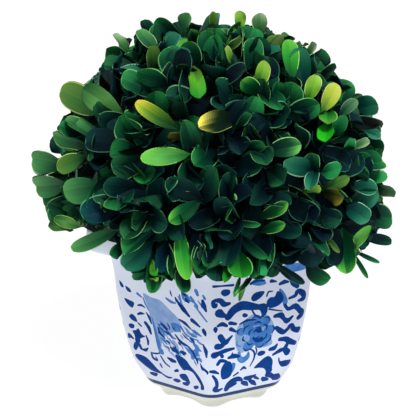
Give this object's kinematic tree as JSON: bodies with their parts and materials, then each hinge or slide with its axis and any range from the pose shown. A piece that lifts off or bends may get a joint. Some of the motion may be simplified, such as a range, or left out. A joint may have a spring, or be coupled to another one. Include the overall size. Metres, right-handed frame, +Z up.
{
  "type": "box topiary ball in a porcelain pot",
  "caption": "Clipped ball of preserved box sprigs on a six-sided, footed blue and white porcelain pot, for a table or shelf.",
  "frame": {"origin": "on the pot's axis, on the plane that its six feet stand on", "axes": "+Z up through the pot and the ball; -Y is the front, about 4 degrees from the pot's front corner; +X to the right of the front"},
  "size_m": [0.2019, 0.2041, 0.218],
  "materials": {
    "porcelain": "glossy glaze with cobalt blue painting",
    "foam_and_moss": "matte",
    "stem_wood": "rough bark",
    "box_leaves": "satin"
  },
  "bodies": {
    "root": {"pot": "porcelain", "pot_fill": "foam_and_moss", "stem": "stem_wood", "foliage_ball": "box_leaves"}
  },
  "joints": []
}
